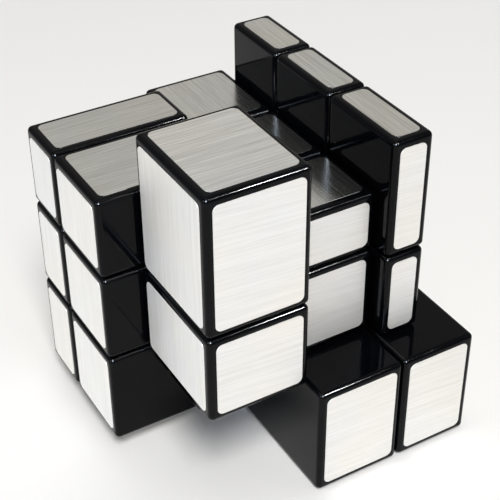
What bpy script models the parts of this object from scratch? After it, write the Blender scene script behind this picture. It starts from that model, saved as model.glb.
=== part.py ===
"""Mirror block cube: a 3 x 3 x 3 turning puzzle whose pieces differ in thickness, shown scrambled.

A core with six posts carries six centres, each held by a screw, a washer and a coil spring. Twelve
edges hook under the centres and eight corners hook under the edges. Below the visible blocks every
piece steps inward over two concentric spheres, so each of the six layers turns about its own post.
Every object has its origin in the middle of the core, where all the turning axes meet.
"""

import math

import bmesh
import bpy
from mathutils import Matrix, Vector

# ---------------------------------------------------------------- driving dimensions, in metres
MM = 0.001
CORE_CENTRE = Vector((4.0, 4.0, 34.5)) * MM  # middle of the core, above the middle of the footprint
HALF_SLICE = 9.5 * MM  # half the middle slice: the cut planes are this far from the core
GAP = 0.15 * MM  # each piece stands back this far from a cut plane or a sliding sphere
EDGE_RADIUS = 1.0 * MM  # rounding on the outside edges of the blocks
EDGE_SEGMENTS = 2
WALL = 1.8 * MM  # wall of the hollow blocks

OUTER_SPHERE = 18.6 * MM  # outer feet slide inside this one
MIDDLE_SPHERE = 15.0 * MM  # inner feet slide inside this one
INNER_SPHERE = 11.5 * MM  # free space round the core
OUTER_PLANE = 7.0 * MM  # cut planes of the outer feet
INNER_PLANE = 4.0 * MM  # cut planes of the inner feet
SPHERE_STEPS = 20
NECK_FAR = 15.05 * MM  # how far the plug or neck runs up into its block
INNER_NECK_FAR = 11.0 * MM
EDGE_CAVITY_NEAR = 14.35 * MM  # the cavity of an edge starts clear of the outer sphere
CHANNEL_RADIUS = 2.2 * MM  # core hole through the foot of an edge
CHANNEL_SPAN = (9.0 * MM, 21.5 * MM)
CHANNEL_STEPS = 8

HUB_RADIUS = 6.4 * MM
HUB_STEPS = 16
POST_RADIUS = 3.2 * MM
POST_LENGTH = 8.6 * MM
POST_BORE = 1.35 * MM
POST_BORE_BOTTOM = 3.2 * MM
POST_BORE_STEPS = 12
STEM_BOTTOM = 8.9 * MM  # running face of a centre, just above the post
STEM_FLOOR = 11.0 * MM
BASE_BOTTOM = 10.8 * MM
BASE_TOP = 17.0 * MM
BASE_BORE = 1.6 * MM
COUNTERBORE = 3.0 * MM
CAP_POCKET = 17.15 * MM

SCREW_SHANK = 1.2 * MM
SCREW_HEAD = 2.5 * MM
SCREW_TIP = 3.6 * MM
SCREW_SEAT = 14.5 * MM
SCREW_TOP = 15.9 * MM
SLOT_REACH = 1.75 * MM  # half the length of each cross slot
SLOT_WIDTH = 0.7 * MM
SLOT_DEPTH = 0.7 * MM
WASHER_RADIUS = 2.8 * MM
WASHER_HOLE = 1.45 * MM
WASHER_SPAN = (13.95 * MM, 14.4 * MM)
SPRING_RADIUS = 2.1 * MM
SPRING_WIRE = 0.25 * MM
SPRING_SPAN = (11.1 * MM, 13.85 * MM)
SPRING_TURNS = 3
SPRING_STEPS = 8
WELD_DISTANCE = 0.001 * MM  # joins the seam of the coil
ROUND_STEPS = 16

# thickness of every block outside the cut plane, in millimetres, by cell (x, y, z); 0 = middle slice
CENTRES = {
    (-1, 0, 0): (29, 0, 0), (1, 0, 0): (9, 0, 0),
    (0, -1, 0): (0, 17, 0), (0, 1, 0): (0, 21, 0),
    (0, 0, -1): (0, 0, 25), (0, 0, 1): (0, 0, 13),
}
EDGES = {
    (-1, -1, 0): (21, 25, 0), (-1, 1, 0): (29, 13, 0), (1, -1, 0): (9, 21, 0), (1, 1, 0): (9, 13, 0),
    (-1, 0, -1): (29, 0, 21), (-1, 0, 1): (29, 0, 17), (1, 0, -1): (9, 0, 17), (1, 0, 1): (9, 0, 25),
    (0, -1, -1): (0, 29, 25), (0, -1, 1): (0, 17, 13), (0, 1, -1): (0, 17, 25), (0, 1, 1): (0, 21, 13),
}
CORNERS = {
    (-1, -1, 1): (21, 25, 29), (-1, 1, 1): (29, 13, 17),
    (1, -1, 1): (9, 21, 25), (1, 1, 1): (9, 17, 25),
    (-1, -1, -1): (17, 13, 9), (-1, 1, -1): (29, 13, 21),
    (1, -1, -1): (17, 29, 25), (1, 1, -1): (21, 9, 13),
}
SIDE_WORDS = (("left", "", "right"), ("front", "", "back"), ("bottom", "", "top"))


def clear_scene():
    for item in list(bpy.data.objects):
        bpy.data.objects.remove(item, do_unlink=True)


def new_collection(name):
    group = bpy.data.collections.new(name)
    bpy.context.scene.collection.children.link(group)
    return group


def new_material(name, colour, metallic, roughness):
    surface = bpy.data.materials.new(name)
    surface.use_nodes = True
    shader = surface.node_tree.nodes["Principled BSDF"]
    shader.inputs["Base Color"].default_value = (*colour, 1.0)
    shader.inputs["Metallic"].default_value = metallic
    shader.inputs["Roughness"].default_value = roughness
    return surface


def side_name(cell):
    """Words for a cell, such as top_front_left."""
    words = [SIDE_WORDS[axis][cell[axis] + 1] for axis in (2, 1, 0)]
    return "_".join(word for word in words if word)


def block(cell, side, near, far):
    """Corners of a box: half width `side` across the slices, from `near` to `far` outward."""
    reach = far if isinstance(far, (tuple, list)) else (far, far, far)
    low, high = Vector(), Vector()
    for axis in range(3):
        span = (-side, side) if cell[axis] == 0 else (near, reach[axis])
        if cell[axis] < 0:
            span = (-span[1], -span[0])
        low[axis], high[axis] = span
    return low, high


def box_mesh(name, low, high):
    shape = bmesh.new()
    bmesh.ops.create_cube(shape, size=1.0)
    for vertex in shape.verts:
        vertex.co = Vector(
            (low[axis] + high[axis]) / 2 + vertex.co[axis] * (high[axis] - low[axis]) for axis in range(3)
        )
    mesh = bpy.data.meshes.new(name)
    shape.to_mesh(mesh)
    shape.free()
    return mesh


def sphere_mesh(name, radius, steps=SPHERE_STEPS):
    shape = bmesh.new()
    bmesh.ops.create_uvsphere(shape, u_segments=steps, v_segments=steps // 2, radius=radius)
    mesh = bpy.data.meshes.new(name)
    shape.to_mesh(mesh)
    shape.free()
    return mesh


def rod_mesh(name, radius, bottom, top, direction, steps=ROUND_STEPS):
    """Cylinder from `bottom` to `top` along a direction from the core."""
    shape = bmesh.new()
    bmesh.ops.create_cone(
        shape, cap_ends=True, segments=steps, radius1=radius, radius2=radius, depth=top - bottom
    )
    bmesh.ops.translate(shape, verts=shape.verts, vec=(0.0, 0.0, (top + bottom) / 2))
    bmesh.ops.transform(shape, matrix=turned(direction), verts=shape.verts)
    mesh = bpy.data.meshes.new(name)
    shape.to_mesh(mesh)
    shape.free()
    return mesh


def turned(direction):
    return Vector((0.0, 0.0, 1.0)).rotation_difference(Vector(direction)).to_matrix().to_4x4()


def add_part(name, mesh, surface):
    part = bpy.data.objects.new(name, mesh)
    part.location = CORE_CENTRE
    mesh.materials.append(surface)
    PARTS.objects.link(part)
    return part


def add_tool(name, mesh):
    tool = bpy.data.objects.new(name, mesh)
    tool.location = CORE_CENTRE
    tool.display_type = "WIRE"
    tool.hide_render = True
    CUTTERS.objects.link(tool)
    return tool


def box_part(name, corners, surface):
    return add_part(name, box_mesh(name, *corners), surface)


def box_tool(name, corners):
    return add_tool(name, box_mesh(name, *corners))


def combine(part, tool, operation):
    step = part.modifiers.new(tool.name, "BOOLEAN")
    step.operation = operation
    step.solver = "EXACT"
    step.object = tool


def round_edges(part):
    step = part.modifiers.new("rounded edges", "BEVEL")
    step.width = EDGE_RADIUS
    step.segments = EDGE_SEGMENTS
    step.limit_method = "NONE"


def ball(name, radius):
    """Sphere with its vertices on the radius, for the outside of a foot."""
    return add_tool(name, sphere_mesh(name, radius - GAP))


def bowl(name, radius):
    """Sphere with its facets outside the radius, for the space a foot slides in."""
    half_step = math.pi / SPHERE_STEPS
    return add_tool(name, sphere_mesh(name, (radius + GAP) / math.cos(half_step) ** 2))


def outer_foot(cell, name):
    foot = box_tool(name, block(cell, OUTER_PLANE - GAP, OUTER_PLANE + GAP, OUTER_SPHERE))
    combine(foot, BALL_OUTER, "INTERSECT")
    neck = block(cell, OUTER_PLANE - GAP, HALF_SLICE + GAP, NECK_FAR)
    combine(foot, box_tool(name + " neck", neck), "UNION")
    combine(foot, BOWL_MIDDLE, "DIFFERENCE")
    return foot


def inner_foot(cell, name):
    foot = box_tool(name, block(cell, INNER_PLANE - GAP, INNER_PLANE + GAP, MIDDLE_SPHERE))
    combine(foot, BALL_MIDDLE, "INTERSECT")
    neck = block(cell, INNER_PLANE - GAP, OUTER_PLANE + GAP, INNER_NECK_FAR)
    combine(foot, box_tool(name + " neck", neck), "UNION")
    combine(foot, BOWL_INNER, "DIFFERENCE")
    return foot


def outside(thickness, inset=0.0):
    """Distance of each outside face from the core, less an inset."""
    return tuple(HALF_SLICE + value * MM - inset for value in thickness)


def build_edge(cell, thickness):
    name = "edge_" + side_name(cell)
    body = block(cell, HALF_SLICE - GAP, HALF_SLICE + GAP, outside(thickness))
    edge = box_part(name, body, BLACK)
    round_edges(edge)
    combine(edge, BOWL_OUTER, "DIFFERENCE")
    combine(edge, outer_foot(cell, name + " outer foot"), "UNION")
    combine(edge, inner_foot(cell, name + " inner foot"), "UNION")
    hollow = block(cell, HALF_SLICE - GAP - WALL, EDGE_CAVITY_NEAR, outside(thickness, WALL))
    combine(edge, box_tool(name + " cavity", hollow), "DIFFERENCE")
    channel = rod_mesh(name + " channel", CHANNEL_RADIUS, *CHANNEL_SPAN, cell, CHANNEL_STEPS)
    combine(edge, add_tool(name + " channel", channel), "DIFFERENCE")


def build_corner(cell, thickness):
    name = "corner_shell_" + side_name(cell)
    near = HALF_SLICE + GAP
    shell = box_part(name, block(cell, 0.0, near, outside(thickness)), BLACK)
    round_edges(shell)
    hollow = block(cell, 0.0, near + WALL, outside(thickness, WALL))
    combine(shell, box_tool(name + " cavity", hollow), "DIFFERENCE")
    opening = block(cell, 0.0, HALF_SLICE - GAP, NECK_FAR + GAP)
    combine(shell, box_tool(name + " opening", opening), "DIFFERENCE")

    name = "corner_base_" + side_name(cell)
    base = box_part(name, block(cell, 0.0, near, NECK_FAR), BLACK_INNER)
    combine(base, outer_foot(cell, name + " outer foot"), "UNION")
    combine(base, inner_foot(cell, name + " inner foot"), "UNION")


def build_centre(cell, thickness):
    side = side_name(cell)
    name = "centre_cap_" + side
    top = max(outside(thickness))
    cap = box_part(name, block(cell, HALF_SLICE - GAP, HALF_SLICE + GAP, top), BLACK)
    round_edges(cap)
    underside = box_tool(name + " underside", block(cell, HALF_SLICE, HALF_SLICE, CAP_POCKET))
    combine(underside, BOWL_OUTER, "INTERSECT")
    combine(cap, underside, "DIFFERENCE")
    pocket = block(cell, OUTER_PLANE, 0.0, max(CAP_POCKET, top - WALL))
    combine(cap, box_tool(name + " pocket", pocket), "DIFFERENCE")

    name = "centre_base_" + side
    base = box_part(name, block(cell, OUTER_PLANE - GAP, BASE_BOTTOM, BASE_TOP), BLACK_INNER)
    combine(base, BOWL_MIDDLE, "DIFFERENCE")
    stem = block(cell, INNER_PLANE - GAP, STEM_BOTTOM, BASE_TOP - WALL)
    combine(base, box_tool(name + " stem", stem), "UNION")
    bore = rod_mesh(name + " bore", BASE_BORE, STEM_BOTTOM - WALL, BASE_TOP, cell)
    combine(base, add_tool(name + " bore", bore), "DIFFERENCE")
    recess = rod_mesh(name + " recess", COUNTERBORE, STEM_FLOOR, BASE_TOP + WALL, cell)
    combine(base, add_tool(name + " recess", recess), "DIFFERENCE")

    name = "screw_" + side
    screw = add_part(name, rod_mesh(name, SCREW_SHANK, SCREW_TIP, SCREW_TOP - WALL / 2, cell), STEEL)
    head = rod_mesh(name + " head", SCREW_HEAD, SCREW_SEAT, SCREW_TOP, cell)
    combine(screw, add_tool(name + " head", head), "UNION")
    for turn in (0.0, math.pi / 2):
        slot = box_mesh(
            name + " slot",
            (-SLOT_REACH, -SLOT_WIDTH / 2, SCREW_TOP - SLOT_DEPTH),
            (SLOT_REACH, SLOT_WIDTH / 2, SCREW_TOP + SLOT_DEPTH),
        )
        slot.transform(turned(cell) @ Matrix.Rotation(turn, 4, "Z"))
        combine(screw, add_tool(name + " slot", slot), "DIFFERENCE")

    name = "washer_" + side
    washer = add_part(name, rod_mesh(name, WASHER_RADIUS, *WASHER_SPAN, cell), STEEL)
    hole = rod_mesh(name + " hole", WASHER_HOLE, WASHER_SPAN[0] - GAP, WASHER_SPAN[1] + GAP, cell)
    combine(washer, add_tool(name + " hole", hole), "DIFFERENCE")

    build_spring("spring_" + side, cell)


def build_spring(name, direction):
    """Coil wound between the floor of a centre and its washer."""
    curve = bpy.data.curves.new(name, "CURVE")
    curve.dimensions = "3D"
    curve.bevel_depth = SPRING_WIRE
    curve.bevel_resolution = 2
    curve.use_fill_caps = True
    spline = curve.splines.new("POLY")
    count = SPRING_TURNS * SPRING_STEPS + 1
    spline.points.add(count - 1)
    low, high = SPRING_SPAN[0] + SPRING_WIRE, SPRING_SPAN[1] - SPRING_WIRE
    for index in range(count):
        angle = index * math.tau / SPRING_STEPS
        height = low + (high - low) * index / (count - 1)
        spot = Vector((SPRING_RADIUS * math.cos(angle), SPRING_RADIUS * math.sin(angle), height))
        spline.points[index].co = (*(turned(direction) @ spot), 1.0)
    carrier = bpy.data.objects.new(name + " wire", curve)
    CUTTERS.objects.link(carrier)
    bpy.context.view_layer.update()
    mesh = bpy.data.meshes.new_from_object(carrier.evaluated_get(bpy.context.evaluated_depsgraph_get()))
    bpy.data.objects.remove(carrier, do_unlink=True)
    shape = bmesh.new()
    shape.from_mesh(mesh)
    bmesh.ops.remove_doubles(shape, verts=shape.verts, dist=WELD_DISTANCE)
    bmesh.ops.recalc_face_normals(shape, faces=shape.faces)
    shape.to_mesh(mesh)
    shape.free()
    mesh.materials.clear()
    mesh.name = name
    add_part(name, mesh, SPRING_STEEL)


def build_core():
    """Hub with six threaded posts, one along each half axis."""
    core = add_part("core", sphere_mesh("core", HUB_RADIUS, HUB_STEPS), CORE_PLASTIC)
    for cell in CENTRES:
        side = side_name(cell)
        post = rod_mesh("post " + side, POST_RADIUS, 0.0, POST_LENGTH, cell)
        combine(core, add_tool("post " + side, post), "UNION")
    for cell in CENTRES:
        side = side_name(cell)
        name = "bore " + side
        bore = rod_mesh(name, POST_BORE, POST_BORE_BOTTOM, POST_LENGTH + WALL, cell, POST_BORE_STEPS)
        combine(core, add_tool(name, bore), "DIFFERENCE")


clear_scene()
PARTS = new_collection("mirror_block_cube")
CUTTERS = new_collection("mirror_block_cube_cutters")
CUTTERS.hide_render = True

BLACK = new_material("gloss_black_abs", (0.006, 0.006, 0.007), 0.0, 0.16)
BLACK_INNER = new_material("moulded_black_abs", (0.010, 0.010, 0.011), 0.0, 0.38)
CORE_PLASTIC = new_material("core_nylon", (0.62, 0.61, 0.58), 0.0, 0.42)
STEEL = new_material("zinc_plated_steel", (0.62, 0.63, 0.65), 1.0, 0.30)
SPRING_STEEL = new_material("spring_steel", (0.50, 0.50, 0.52), 1.0, 0.26)

BALL_OUTER = ball("outer ball", OUTER_SPHERE)
BALL_MIDDLE = ball("middle ball", MIDDLE_SPHERE)
BOWL_OUTER = bowl("outer bowl", OUTER_SPHERE)
BOWL_MIDDLE = bowl("middle bowl", MIDDLE_SPHERE)
BOWL_INNER = bowl("inner bowl", INNER_SPHERE)

build_core()
for place, sizes in CENTRES.items():
    build_centre(place, sizes)
for place, sizes in EDGES.items():
    build_edge(place, sizes)
for place, sizes in CORNERS.items():
    build_corner(place, sizes)
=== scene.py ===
import math
import bpy
from mathutils import Matrix, Vector


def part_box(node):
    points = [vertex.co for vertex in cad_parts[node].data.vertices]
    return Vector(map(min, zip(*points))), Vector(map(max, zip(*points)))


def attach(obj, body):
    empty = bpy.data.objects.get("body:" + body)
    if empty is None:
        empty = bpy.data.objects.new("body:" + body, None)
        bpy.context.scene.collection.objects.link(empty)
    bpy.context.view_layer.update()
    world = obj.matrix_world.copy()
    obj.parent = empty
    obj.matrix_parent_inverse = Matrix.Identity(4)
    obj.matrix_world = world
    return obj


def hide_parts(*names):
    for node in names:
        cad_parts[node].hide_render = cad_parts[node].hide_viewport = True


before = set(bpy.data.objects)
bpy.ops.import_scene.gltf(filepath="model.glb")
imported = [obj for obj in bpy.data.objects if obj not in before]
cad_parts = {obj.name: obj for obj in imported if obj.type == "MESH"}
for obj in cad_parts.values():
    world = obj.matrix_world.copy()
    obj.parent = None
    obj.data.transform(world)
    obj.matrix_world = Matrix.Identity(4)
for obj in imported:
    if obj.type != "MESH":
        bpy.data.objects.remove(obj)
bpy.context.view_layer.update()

mm = 0.001
print("frame loaded")

# measures every block shares, the same as the frame's
cut = {
    "halfSlice": 9.5 * mm,  # the cut planes stand this far from the core
    "gap": 0.15 * mm,  # each side of a cut
    "edgeRadius": 1.05 * mm,
    "edgeSteps": 6,
    "wall": 1.8 * mm,
    "outerSphere": 18.6 * mm,
    "middleSphere": 15.0 * mm,
    "innerSphere": 11.5 * mm,
    "outerPlane": 7.0 * mm,
    "innerPlane": 4.0 * mm,
    "neckFar": 15.05 * mm,
    "capPocket": 17.15 * mm,
    "sphereSteps": 48,
    "smoothUpTo": 32,  # degrees: sharper corners than this stay crisp
}

sticker = {
    "inset": 1.55 * mm,  # from the cut plane or the outside face to the foil
    "cornerRadius": 1.25 * mm,
    "cornerSteps": 7,
    "thickness": 0.13 * mm,
    "rim": 0.10 * mm,
    "rimSteps": 2,
    "sunk": 0.02 * mm,  # how far the glue side sits in the block
    # this one is stuck on higher, clear of the edge that shows under the tall block
    "raised": {"corner_shell_bottom_front_leftFoilLeft": 0.8 * mm},
}

# the way the foil is brushed on the x, y and z faces of each block
brushed = {
    "centre_cap_left": "Z--",
    "centre_cap_right": "Y--",
    "centre_cap_front": "-X-",
    "centre_cap_back": "-X-",
    "centre_cap_bottom": "--Y",
    "centre_cap_top": "--Y",
    "edge_front_left": "ZX-",
    "edge_back_left": "ZZ-",
    "edge_front_right": "YX-",
    "edge_back_right": "ZZ-",
    "edge_bottom_left": "Z-X",
    "edge_top_left": "Z-X",
    "edge_bottom_right": "Z-X",
    "edge_top_right": "Y-Y",
    "edge_bottom_front": "-XX",
    "edge_top_front": "-XY",
    "edge_bottom_back": "-XY",
    "edge_top_back": "-XY",
    "corner_shell_top_front_left": "ZXX",
    "corner_shell_top_back_left": "ZZX",
    "corner_shell_top_front_right": "YXY",
    "corner_shell_top_back_right": "YXY",
    "corner_shell_bottom_front_left": "ZXX",
    "corner_shell_bottom_back_left": "ZZX",
    "corner_shell_bottom_front_right": "YXX",
    "corner_shell_bottom_back_right": "YXX",
}

coreLow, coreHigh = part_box("core")
coreMiddle = (coreLow + coreHigh) / 2


# small helpers for working by hand: choose one thing, model it, join or cut it
def deselectAll():
    if bpy.context.object and bpy.context.object.mode != "OBJECT":
        bpy.ops.object.mode_set(mode="OBJECT")
    bpy.ops.object.select_all(action="DESELECT")


def pick(thing):
    deselectAll()
    thing.select_set(True)
    bpy.context.view_layer.objects.active = thing


def settle(thing):
    pick(thing)
    bpy.ops.object.transform_apply(location=True, rotation=True, scale=True)


def addBox(name, low, high):
    deselectAll()
    bpy.ops.mesh.primitive_cube_add(size=1, location=(low + high) / 2, scale=high - low)
    thing = bpy.context.object
    thing.name = name
    thing.data.name = name
    settle(thing)
    return thing


def addBall(radius):
    deselectAll()
    steps = cut["sphereSteps"]
    bpy.ops.mesh.primitive_uv_sphere_add(
        segments=steps, ring_count=steps // 2, radius=radius, location=coreMiddle
    )
    settle(bpy.context.object)
    return bpy.context.object


def carve(thing, tool, how):
    step = thing.modifiers.new(how.lower(), "BOOLEAN")
    step.operation = how
    step.solver = "EXACT"
    step.object = tool
    pick(thing)
    bpy.ops.object.modifier_apply(modifier=step.name)
    bpy.data.objects.remove(tool, do_unlink=True)


def span(cell, side, near, far):
    # box round the core: side is the half width across a middle slice, near to far is outward
    low, high = Vector(), Vector()
    for axis in range(3):
        reach = far[axis] if isinstance(far, (tuple, list)) else far
        ends = (-side, side) if cell[axis] == 0 else (near, reach)
        if cell[axis] < 0:
            ends = (-ends[1], -ends[0])
        low[axis], high[axis] = coreMiddle[axis] + ends[0], coreMiddle[axis] + ends[1]
    return low, high


def cellOf(name):
    sides = (("left", "right"), ("front", "back"), ("bottom", "top"))
    words = name.split("_")
    return tuple((pair[1] in words) - (pair[0] in words) for pair in sides)


def reachOf(name, cell):
    # how far the plastic reaches from the core: the foil fills the last bit of the frame's own size
    low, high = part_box(name)
    low, high = low - coreMiddle, high - coreMiddle
    far = [max(abs(low[axis]), abs(high[axis])) for axis in range(3)]
    return tuple(far[axis] - sticker["thickness"] if cell[axis] else 0.0 for axis in range(3))


def roundAll(thing, radius, steps):
    pick(thing)
    bpy.ops.object.mode_set(mode="EDIT")
    bpy.ops.mesh.select_all(action="SELECT")
    bpy.ops.mesh.bevel(offset=radius, segments=steps, affect="EDGES", profile=0.5)
    bpy.ops.object.mode_set(mode="OBJECT")


def selectOnly(kind):
    # nothing selected, ready to choose edges or faces in code
    bpy.ops.object.mode_set(mode="EDIT")
    bpy.ops.mesh.select_mode(type=kind)
    bpy.ops.mesh.select_all(action="DESELECT")
    bpy.ops.object.mode_set(mode="OBJECT")


def smoothBlock(thing):
    pick(thing)
    bpy.ops.object.shade_smooth_by_angle(angle=math.radians(cut["smoothUpTo"]))
    step = thing.modifiers.new("even shading", "WEIGHTED_NORMAL")
    step.keep_sharp = True
    bpy.ops.object.modifier_apply(modifier=step.name)


# every finish starts from a fresh shader and is placed by object coordinates
def freshMaterial(name):
    material = bpy.data.materials.new(name)
    material.use_nodes = True
    nodes, links = material.node_tree.nodes, material.node_tree.links
    shader = nodes["Principled BSDF"]
    place = nodes.new("ShaderNodeTexCoord")
    return material, nodes, links, shader, place


def noise(nodes, links, source, scale, detail, roughness=0.5):
    texture = nodes.new("ShaderNodeTexNoise")
    texture.inputs["Scale"].default_value = scale
    texture.inputs["Detail"].default_value = detail
    texture.inputs["Roughness"].default_value = roughness
    links.new(source.outputs[0 if source.type == "MAPPING" else "Object"], texture.inputs["Vector"])
    return texture


def ramp(nodes, links, source, stops):
    colours = nodes.new("ShaderNodeValToRGB")
    marks = colours.color_ramp.elements
    while len(marks) < len(stops):
        marks.new(0.5)
    for mark, (position, colour) in zip(marks, stops):
        mark.position = position
        mark.color = (*colour, 1.0)
    links.new(source, colours.inputs["Fac"])
    return colours


def remap(nodes, links, source, low, high, fromLow=0.3, fromHigh=0.7):
    spread = nodes.new("ShaderNodeMapRange")
    spread.inputs["From Min"].default_value = fromLow
    spread.inputs["From Max"].default_value = fromHigh
    spread.inputs["To Min"].default_value = low
    spread.inputs["To Max"].default_value = high
    links.new(source, spread.inputs["Value"])
    return spread


def bump(nodes, links, height, shader, strength, distance, before=None):
    relief = nodes.new("ShaderNodeBump")
    relief.inputs["Strength"].default_value = strength
    relief.inputs["Distance"].default_value = distance
    links.new(height, relief.inputs["Height"])
    if before:
        links.new(before.outputs["Normal"], relief.inputs["Normal"])
    links.new(relief.outputs["Normal"], shader.inputs["Normal"])
    return relief


# foil comes in three grades: polished on the tops; half polished on the top of the tallest block,
# painted lighter there;
# satin on the sides, where the paler tone and part-diffuse finish are painted light that brightens the
# side faces
foil = {
    "fineAcross": 5200,  # brush lines per metre, and how slowly they change along the stroke
    "fineAlong": 70,
    "broadAcross": 1500,
    "broadAlong": 24,
    "fineShare": 0.76,
    "reliefDepth": 0.04 * mm,
    "cloud": 45.0,  # slow change of warmth over the sheet
    "bright": {
        "metallic": 1.0, "roughness": (0.15, 0.25),
        "dark": 0.66, "light": 0.96, "relief": 0.2, "tilt": 0.0,
    },
    # lighter tone and 0.86 metallic share: painted light that lifts the top of the tallest block; the
    # rougher range is its half polish
    "half": {
        "metallic": 0.86, "roughness": (0.26, 0.42),
        "dark": 0.64, "light": 1.0, "relief": 0.4, "tilt": 0.0,
    },
    # on the sides the strokes don't run quite square to the edges
    # paler tone and 0.6 metallic share: painted light that brightens the side faces; the rougher range
    # is the satin finish itself
    "satinPaintedLight": {
        "metallic": 0.6, "roughness": (0.42, 0.52),
        "dark": 0.80, "light": 0.93, "relief": 0.12, "tilt": 4.0,
    },
}


def brushedAlong(nodes, links, place, axis, tilt, size):
    # turned first, then stretched along the stroke
    mapping = nodes.new("ShaderNodeMapping")
    mapping.vector_type = "TEXTURE"
    stretch = [1.0 / foil[size + "Across"]] * 3
    stretch[axis] = 1.0 / foil[size + "Along"]
    mapping.inputs["Scale"].default_value = stretch
    mapping.inputs["Rotation"].default_value = (0.0, tilt, 0.0)
    links.new(place.outputs["Object"], mapping.inputs["Vector"])
    return mapping


def makeFoil(axis, grade):
    material, nodes, links, shader, place = freshMaterial(grade + "Foil" + "XYZ"[axis])
    shader.inputs["Metallic"].default_value = foil[grade]["metallic"]
    tilt = math.radians(foil[grade]["tilt"]) if axis == 0 else 0.0
    fine = noise(nodes, links, brushedAlong(nodes, links, place, axis, tilt, "fine"), 1.0, 3.0, 0.7)
    broad = noise(nodes, links, brushedAlong(nodes, links, place, axis, tilt, "broad"), 1.0, 3.0, 0.6)
    cloud = noise(nodes, links, place, foil["cloud"], 2.0)
    part = nodes.new("ShaderNodeMath")
    part.operation = "MULTIPLY"
    part.inputs[1].default_value = 1.0 - foil["fineShare"]
    links.new(broad.outputs["Fac"], part.inputs[0])
    both = nodes.new("ShaderNodeMath")
    both.operation = "MULTIPLY_ADD"
    both.inputs[1].default_value = foil["fineShare"]
    links.new(fine.outputs["Fac"], both.inputs[0])
    links.new(part.outputs[0], both.inputs[2])
    streaks = both.outputs[0]
    dark, light = foil[grade]["dark"], foil[grade]["light"]
    tone = ramp(
        nodes, links, streaks,
        [(0.36, (dark, dark * 0.985, dark * 0.95)), (0.64, (light, light * 0.99, light * 0.965))],
    )
    warm = ramp(
        nodes, links, cloud.outputs["Fac"],
        [(0.35, (0.97, 0.98, 1.0)), (0.65, (1.0, 0.985, 0.96))],
    )
    tint = nodes.new("ShaderNodeMix")
    tint.data_type = "RGBA"
    tint.blend_type = "MULTIPLY"
    tint.inputs["Factor"].default_value = 1.0
    links.new(tone.outputs["Color"], tint.inputs["A"])
    links.new(warm.outputs["Color"], tint.inputs["B"])
    links.new(tint.outputs["Result"], shader.inputs["Base Color"])
    polish = remap(nodes, links, streaks, *foil[grade]["roughness"])
    links.new(polish.outputs[0], shader.inputs["Roughness"])
    bump(nodes, links, streaks, shader, foil[grade]["relief"], foil["reliefDepth"])
    return material


blackGloss = {
    "colour": (0.0009, 0.0010, 0.0015),
    "paler": 1.7,  # where handling has left a haze
    "roughness": (0.06, 0.13),
    "specular": 0.11,
    "haze": 160.0,
    "grain": 1500.0,
    "wave": 60.0,
    "waveDepth": 0.3 * mm,
    "grainDepth": 0.03 * mm,
}


def makeBlack():
    material, nodes, links, shader, place = freshMaterial("blackGloss")
    shader.inputs["Specular IOR Level"].default_value = blackGloss["specular"]
    haze = noise(nodes, links, place, blackGloss["haze"], 4.0, 0.6)
    grain = noise(nodes, links, place, blackGloss["grain"], 2.0)
    wave = noise(nodes, links, place, blackGloss["wave"], 1.0)
    paler = tuple(value * blackGloss["paler"] for value in blackGloss["colour"])
    tone = ramp(nodes, links, haze.outputs["Fac"], [(0.3, blackGloss["colour"]), (0.75, paler)])
    links.new(tone.outputs["Color"], shader.inputs["Base Color"])
    polish = remap(nodes, links, haze.outputs["Fac"], *blackGloss["roughness"])
    links.new(polish.outputs[0], shader.inputs["Roughness"])
    first = bump(nodes, links, wave.outputs["Fac"], shader, 0.25, blackGloss["waveDepth"])
    bump(nodes, links, grain.outputs["Fac"], shader, 0.08, blackGloss["grainDepth"], before=first)
    return material


moulded = {"flow": 220.0, "grain": 2600.0, "grainDepth": 0.05 * mm}


def makeMoulded(name, colour, roughness):
    material, nodes, links, shader, place = freshMaterial(name)
    flow = noise(nodes, links, place, moulded["flow"], 3.0)
    grain = noise(nodes, links, place, moulded["grain"], 2.0)
    darker = tuple(value * 0.85 for value in colour)
    lighter = tuple(min(1.0, value * 1.1) for value in colour)
    tone = ramp(nodes, links, flow.outputs["Fac"], [(0.3, darker), (0.7, lighter)])
    links.new(tone.outputs["Color"], shader.inputs["Base Color"])
    polish = remap(nodes, links, flow.outputs["Fac"], *roughness)
    links.new(polish.outputs[0], shader.inputs["Roughness"])
    bump(nodes, links, grain.outputs["Fac"], shader, 0.2, moulded["grainDepth"])
    return material


steel = {"spangle": 1400.0, "drawn": 900.0, "drawnDepth": 0.03 * mm}


def makeSteel(name, colour, roughness):
    material, nodes, links, shader, place = freshMaterial(name)
    shader.inputs["Metallic"].default_value = 1.0
    spangle = nodes.new("ShaderNodeTexVoronoi")
    spangle.inputs["Scale"].default_value = steel["spangle"]
    links.new(place.outputs["Object"], spangle.inputs["Vector"])
    drawn = noise(nodes, links, place, steel["drawn"], 4.0, 0.65)
    tone = ramp(
        nodes, links, drawn.outputs["Fac"],
        [(0.3, tuple(value * 0.8 for value in colour)), (0.7, colour)],
    )
    links.new(tone.outputs["Color"], shader.inputs["Base Color"])
    polish = remap(nodes, links, spangle.outputs["Distance"], *roughness, 0.1, 0.6)
    links.new(polish.outputs[0], shader.inputs["Roughness"])
    bump(nodes, links, drawn.outputs["Fac"], shader, 0.15, steel["drawnDepth"])
    return material


foilMaterials = {
    (grade, "XYZ"[axis]): makeFoil(axis, grade)
    for grade in ("bright", "half", "satinPaintedLight")
    for axis in range(3)
}
black = makeBlack()
innerBlack = makeMoulded("mouldedBlack", (0.012, 0.012, 0.013), (0.32, 0.46))
nylon = makeMoulded("coreNylon", (0.60, 0.59, 0.555), (0.38, 0.5))
zinc = makeSteel("zincPlate", (0.66, 0.67, 0.69), (0.22, 0.36))
wire = makeSteel("springWire", (0.55, 0.55, 0.57), (0.18, 0.3))
print("finishes made")


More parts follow.
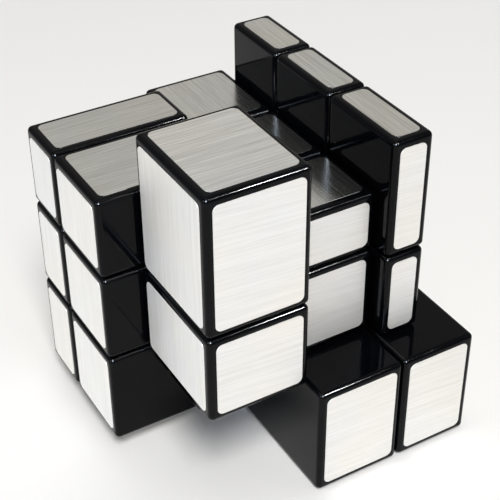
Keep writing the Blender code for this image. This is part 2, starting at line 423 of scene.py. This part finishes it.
# what stays from the frame only gets its finish
for name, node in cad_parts.items():
    if name == "core":
        finish = nylon
    elif name.startswith(("screw", "washer")):
        finish = zinc
    elif name.startswith("spring"):
        finish = wire
    elif "_base_" in name:
        finish = innerBlack
    else:
        continue
    for slot in node.material_slots:
        slot.material = finish


# the blocks are modelled again, smoother than the frame has them
def paint(thing, material):
    thing.data.materials.clear()
    thing.data.materials.append(material)


def bodyOf(name):
    return name.replace("centre_cap", "centre").replace("corner_shell", "corner")


edgeFoot = {
    "innerNeckFar": 11.0 * mm,
    "channelRadius": 2.2 * mm,
    "channelSpan": (9.0 * mm, 21.5 * mm),
    "channelSteps": 32,
    "cavityNear": 14.35 * mm,
}


def makeFoot(cell):
    # two stepped feet and a neck, cut by the sliding spheres
    gap = cut["gap"]
    outer = span(cell, cut["outerPlane"] - gap, cut["outerPlane"] + gap, cut["outerSphere"])
    foot = addBox("footOuter", *outer)
    carve(foot, addBall(cut["outerSphere"] - gap), "INTERSECT")
    neck = span(cell, cut["outerPlane"] - gap, cut["halfSlice"] + gap, cut["neckFar"])
    carve(foot, addBox("neck", *neck), "UNION")
    carve(foot, addBall(cut["middleSphere"] + gap), "DIFFERENCE")
    within = span(cell, cut["innerPlane"] - gap, cut["innerPlane"] + gap, cut["middleSphere"])
    inner = addBox("footInner", *within)
    carve(inner, addBall(cut["middleSphere"] - gap), "INTERSECT")
    innerNeck = span(cell, cut["innerPlane"] - gap, cut["outerPlane"] + gap, edgeFoot["innerNeckFar"])
    carve(inner, addBox("innerNeck", *innerNeck), "UNION")
    carve(inner, addBall(cut["innerSphere"] + gap), "DIFFERENCE")
    carve(foot, inner, "UNION")
    return foot


def turnOnto(cell):
    # the modelled foot points along +y and +z with its length along x
    along = Vector([1.0 if value == 0 else 0.0 for value in cell])
    outward = [axis for axis in range(3) if cell[axis]]
    second = Vector([float(cell[axis]) if axis == outward[0] else 0.0 for axis in range(3)])
    third = Vector([float(cell[axis]) if axis == outward[1] else 0.0 for axis in range(3)])
    if along.cross(second).dot(third) < 0:
        second, third = third, second
    turn = Matrix((along, second, third)).transposed().to_4x4()
    return Matrix.Translation(coreMiddle) @ turn @ Matrix.Translation(-coreMiddle)


def makeEdge(name, foot):
    cell = cellOf(name)
    reach = reachOf(name, cell)
    gap = cut["gap"]
    block = addBox(name + "Block", *span(cell, cut["halfSlice"] - gap, cut["halfSlice"] + gap, reach))
    roundAll(block, cut["edgeRadius"], cut["edgeSteps"])
    carve(block, addBall(cut["outerSphere"] + gap), "DIFFERENCE")
    own = foot.copy()
    own.data = foot.data.copy()
    bpy.context.collection.objects.link(own)
    own.data.transform(turnOnto(cell))
    carve(block, own, "UNION")
    inside = tuple(value - cut["wall"] for value in reach)
    hollow = span(cell, cut["halfSlice"] - gap - cut["wall"], edgeFoot["cavityNear"], inside)
    carve(block, addBox("hollow", *hollow), "DIFFERENCE")
    low, high = edgeFoot["channelSpan"]
    outward = Vector(cell).normalized()
    deselectAll()
    bpy.ops.mesh.primitive_cylinder_add(
        vertices=edgeFoot["channelSteps"], radius=edgeFoot["channelRadius"], depth=high - low,
        location=coreMiddle + outward * (low + high) / 2,
        rotation=Vector((0, 0, 1)).rotation_difference(outward).to_euler(),
    )
    settle(bpy.context.object)
    carve(block, bpy.context.object, "DIFFERENCE")
    return block


def makeShell(name):
    cell = cellOf(name)
    reach = reachOf(name, cell)
    gap = cut["gap"]
    near = cut["halfSlice"] + gap
    block = addBox(name + "Block", *span(cell, 0.0, near, reach))
    roundAll(block, cut["edgeRadius"], cut["edgeSteps"])
    inside = tuple(value - cut["wall"] for value in reach)
    carve(block, addBox("hollow", *span(cell, 0.0, near + cut["wall"], inside)), "DIFFERENCE")
    opening = span(cell, 0.0, cut["halfSlice"] - gap, cut["neckFar"] + gap)
    carve(block, addBox("opening", *opening), "DIFFERENCE")
    return block


def makeCap(name):
    cell = cellOf(name)
    reach = reachOf(name, cell)
    gap = cut["gap"]
    block = addBox(name + "Block", *span(cell, cut["halfSlice"] - gap, cut["halfSlice"] + gap, reach))
    roundAll(block, cut["edgeRadius"], cut["edgeSteps"])
    underside = addBox("underside", *span(cell, cut["halfSlice"], cut["halfSlice"], cut["capPocket"]))
    carve(underside, addBall(cut["outerSphere"] + gap), "INTERSECT")
    carve(block, underside, "DIFFERENCE")
    pocket = span(cell, cut["outerPlane"], 0.0, max(cut["capPocket"], max(reach) - cut["wall"]))
    carve(block, addBox("pocket", *pocket), "DIFFERENCE")
    return block


# one foil for each outward face
def makeSticker(name, cell, reach, axis):
    inset = sticker["inset"]
    inside = tuple(value - inset for value in reach)
    low, high = span(cell, cut["halfSlice"] - inset, cut["halfSlice"] + inset, inside)
    low.z += sticker["raised"].get(name, 0.0)
    face = coreMiddle[axis] + cell[axis] * reach[axis]
    ends = (face - cell[axis] * sticker["sunk"], face + cell[axis] * sticker["thickness"])
    low[axis], high[axis] = min(ends), max(ends)
    plate = addBox(name, low, high)
    mesh = plate.data
    selectOnly("EDGE")
    for edge in mesh.edges:  # the four short edges get the rounded corners
        run = mesh.vertices[edge.vertices[0]].co - mesh.vertices[edge.vertices[1]].co
        edge.select = abs(run[axis]) > 0.5 * (high[axis] - low[axis])
    bpy.ops.object.mode_set(mode="EDIT")
    bpy.ops.mesh.bevel(
        offset=sticker["cornerRadius"], segments=sticker["cornerSteps"], affect="EDGES", profile=0.5
    )
    selectOnly("FACE")
    for polygon in mesh.polygons:  # then the rim of the outward side
        polygon.select = polygon.normal[axis] * cell[axis] > 0.9
    bpy.ops.object.mode_set(mode="EDIT")
    bpy.ops.mesh.bevel(offset=sticker["rim"], segments=sticker["rimSteps"], affect="EDGES", profile=0.5)
    bpy.ops.object.mode_set(mode="OBJECT")
    smoothBlock(plate)
    return plate


foot = makeFoot((0, 1, 1))
blackBlocks = bpy.data.collections.new("blackBlocks")
cubePieces = bpy.data.collections.new("cubePieces")
print("foot modelled")

tallestFoil = "corner_shell_top_front_leftFoilTop"
faceWords = (("Left", "Right"), ("Front", "Back"), ("Bottom", "Top"))
for name in brushed:
    cell = cellOf(name)
    if name.startswith("edge"):
        block = makeEdge(name, foot)
    elif name.startswith("corner"):
        block = makeShell(name)
    else:
        block = makeCap(name)
    smoothBlock(block)
    paint(block, black)
    blackBlocks.objects.link(block)
    cubePieces.objects.link(block)
    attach(block, bodyOf(name))
    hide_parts(name)
    reach = reachOf(name, cell)
    for axis in range(3):
        if cell[axis]:
            label = name + "Foil" + faceWords[axis][cell[axis] > 0]
            plate = makeSticker(label, cell, reach, axis)
            # tops keep the polished foil; the sides take the satin copy, painted paler, and the tallest
            # top the half copy, painted lighter
            grade = "bright" if axis == 2 else "satinPaintedLight"
            if label == tallestFoil:
                grade = "half"
            paint(plate, foilMaterials[grade, brushed[name][axis]])
            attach(plate, bodyOf(name))
            cubePieces.objects.link(plate)
bpy.data.objects.remove(foot, do_unlink=True)
print("blocks and foil made")


# floor, light and camera
studio = {
    "floor": (0.93, 0.925, 0.915),
    "floorSize": 8,
    "floorDrop": 0.05 * mm,  # just clear of the feet
    "floorRoughness": 0.6,
    "glowFrom": (0.41, 0.70, 0.58),  # the pale wall behind, which the tops mirror
    "glow": [
        (0.0, (0.24, 0.25, 0.275)), (0.55, (0.275, 0.28, 0.285)),
        (0.85, (0.44, 0.435, 0.41)), (1.0, (0.48, 0.475, 0.445)),
    ],
    "top": {"place": (0.0, -0.12, 0.9), "size": 0.6, "power": 1.0, "colour": (1.0, 0.99, 0.97)},
    "front": {"place": (-0.36, -0.85, 1.3), "size": 0.45, "power": 19.5, "colour": (1.0, 0.99, 0.97)},
    "left": {"place": (-1.45, -0.25, 0.85), "size": 0.6, "power": 14.0, "colour": (0.88, 0.94, 1.0)},
    # two small lamps that only put glints on the black
    "glint": {"place": (0.45, -0.65, 0.8), "size": 0.06, "power": 13.0, "colour": (1.0, 1.0, 1.0)},
    "spark": {"place": (-0.21, -0.42, 0.38), "size": 0.2, "power": 16.0, "colour": (0.72, 0.84, 1.0)},
    "lookAt": (0.0, 0.0, 0.03),
}

camera = {
    "place": (-0.101792, -0.173923, 0.179878),
    "turn": (54.2899, 0.3137, -30.511),
    "lens": 89.414,
    "sensor": 36,
    "nearest": 0.01,
}


def makeFloor():
    deselectAll()
    bpy.ops.mesh.primitive_plane_add(size=studio["floorSize"], location=(0, 0, -studio["floorDrop"]))
    floor = bpy.context.object
    floor.name = "floor"
    material, nodes, links, shader, place = freshMaterial("paleFloor")
    soft = noise(nodes, links, place, 12.0, 3.0)
    tone = ramp(
        nodes, links, soft.outputs["Fac"],
        [(0.3, tuple(value * 0.99 for value in studio["floor"])), (0.7, studio["floor"])],
    )
    links.new(tone.outputs["Color"], shader.inputs["Base Color"])
    shader.inputs["Roughness"].default_value = studio["floorRoughness"]
    floor.data.materials.append(material)


def addLight(name):
    deselectAll()
    lamp = studio[name]
    direction = Vector(studio["lookAt"]) - Vector(lamp["place"])
    bpy.ops.object.light_add(
        type="AREA", location=lamp["place"], rotation=direction.to_track_quat("-Z", "Y").to_euler()
    )
    light = bpy.context.object
    light.name = name + "Light"
    light.data.shape = "SQUARE"
    light.data.size = lamp["size"]
    light.data.energy = lamp["power"]
    light.data.color = lamp["colour"]
    return light


def makeWorld():
    world = bpy.data.worlds.new("studio")
    world.use_nodes = True
    nodes, links = world.node_tree.nodes, world.node_tree.links
    place = nodes.new("ShaderNodeTexCoord")
    facing = nodes.new("ShaderNodeVectorMath")
    facing.operation = "DOT_PRODUCT"
    facing.inputs[1].default_value = Vector(studio["glowFrom"]).normalized()
    links.new(place.outputs["Generated"], facing.inputs[0])
    glow = ramp(nodes, links, facing.outputs["Value"], studio["glow"])
    links.new(glow.outputs["Color"], nodes["Background"].inputs["Color"])
    bpy.context.scene.world = world


makeFloor()
makeWorld()
addLight("top")
addLight("front")
addLight("left").light_linking.receiver_collection = cubePieces
floorOnly = bpy.data.collections.new("floorOnly")
floorOnly.objects.link(bpy.data.objects["floor"])
for name in ("glint", "spark"):
    lamp = addLight(name)
    lamp.visible_diffuse = False
    lamp.light_linking.receiver_collection = blackBlocks
    lamp.light_linking.blocker_collection = floorOnly

bpy.ops.object.camera_add(
    location=camera["place"], rotation=[math.radians(angle) for angle in camera["turn"]]
)
bpy.context.object.data.lens = camera["lens"]
bpy.context.object.data.sensor_width = camera["sensor"]
bpy.context.object.data.clip_start = camera["nearest"]
bpy.context.scene.camera = bpy.context.object
bpy.context.scene.view_settings.view_transform = "Standard"
print("studio ready")
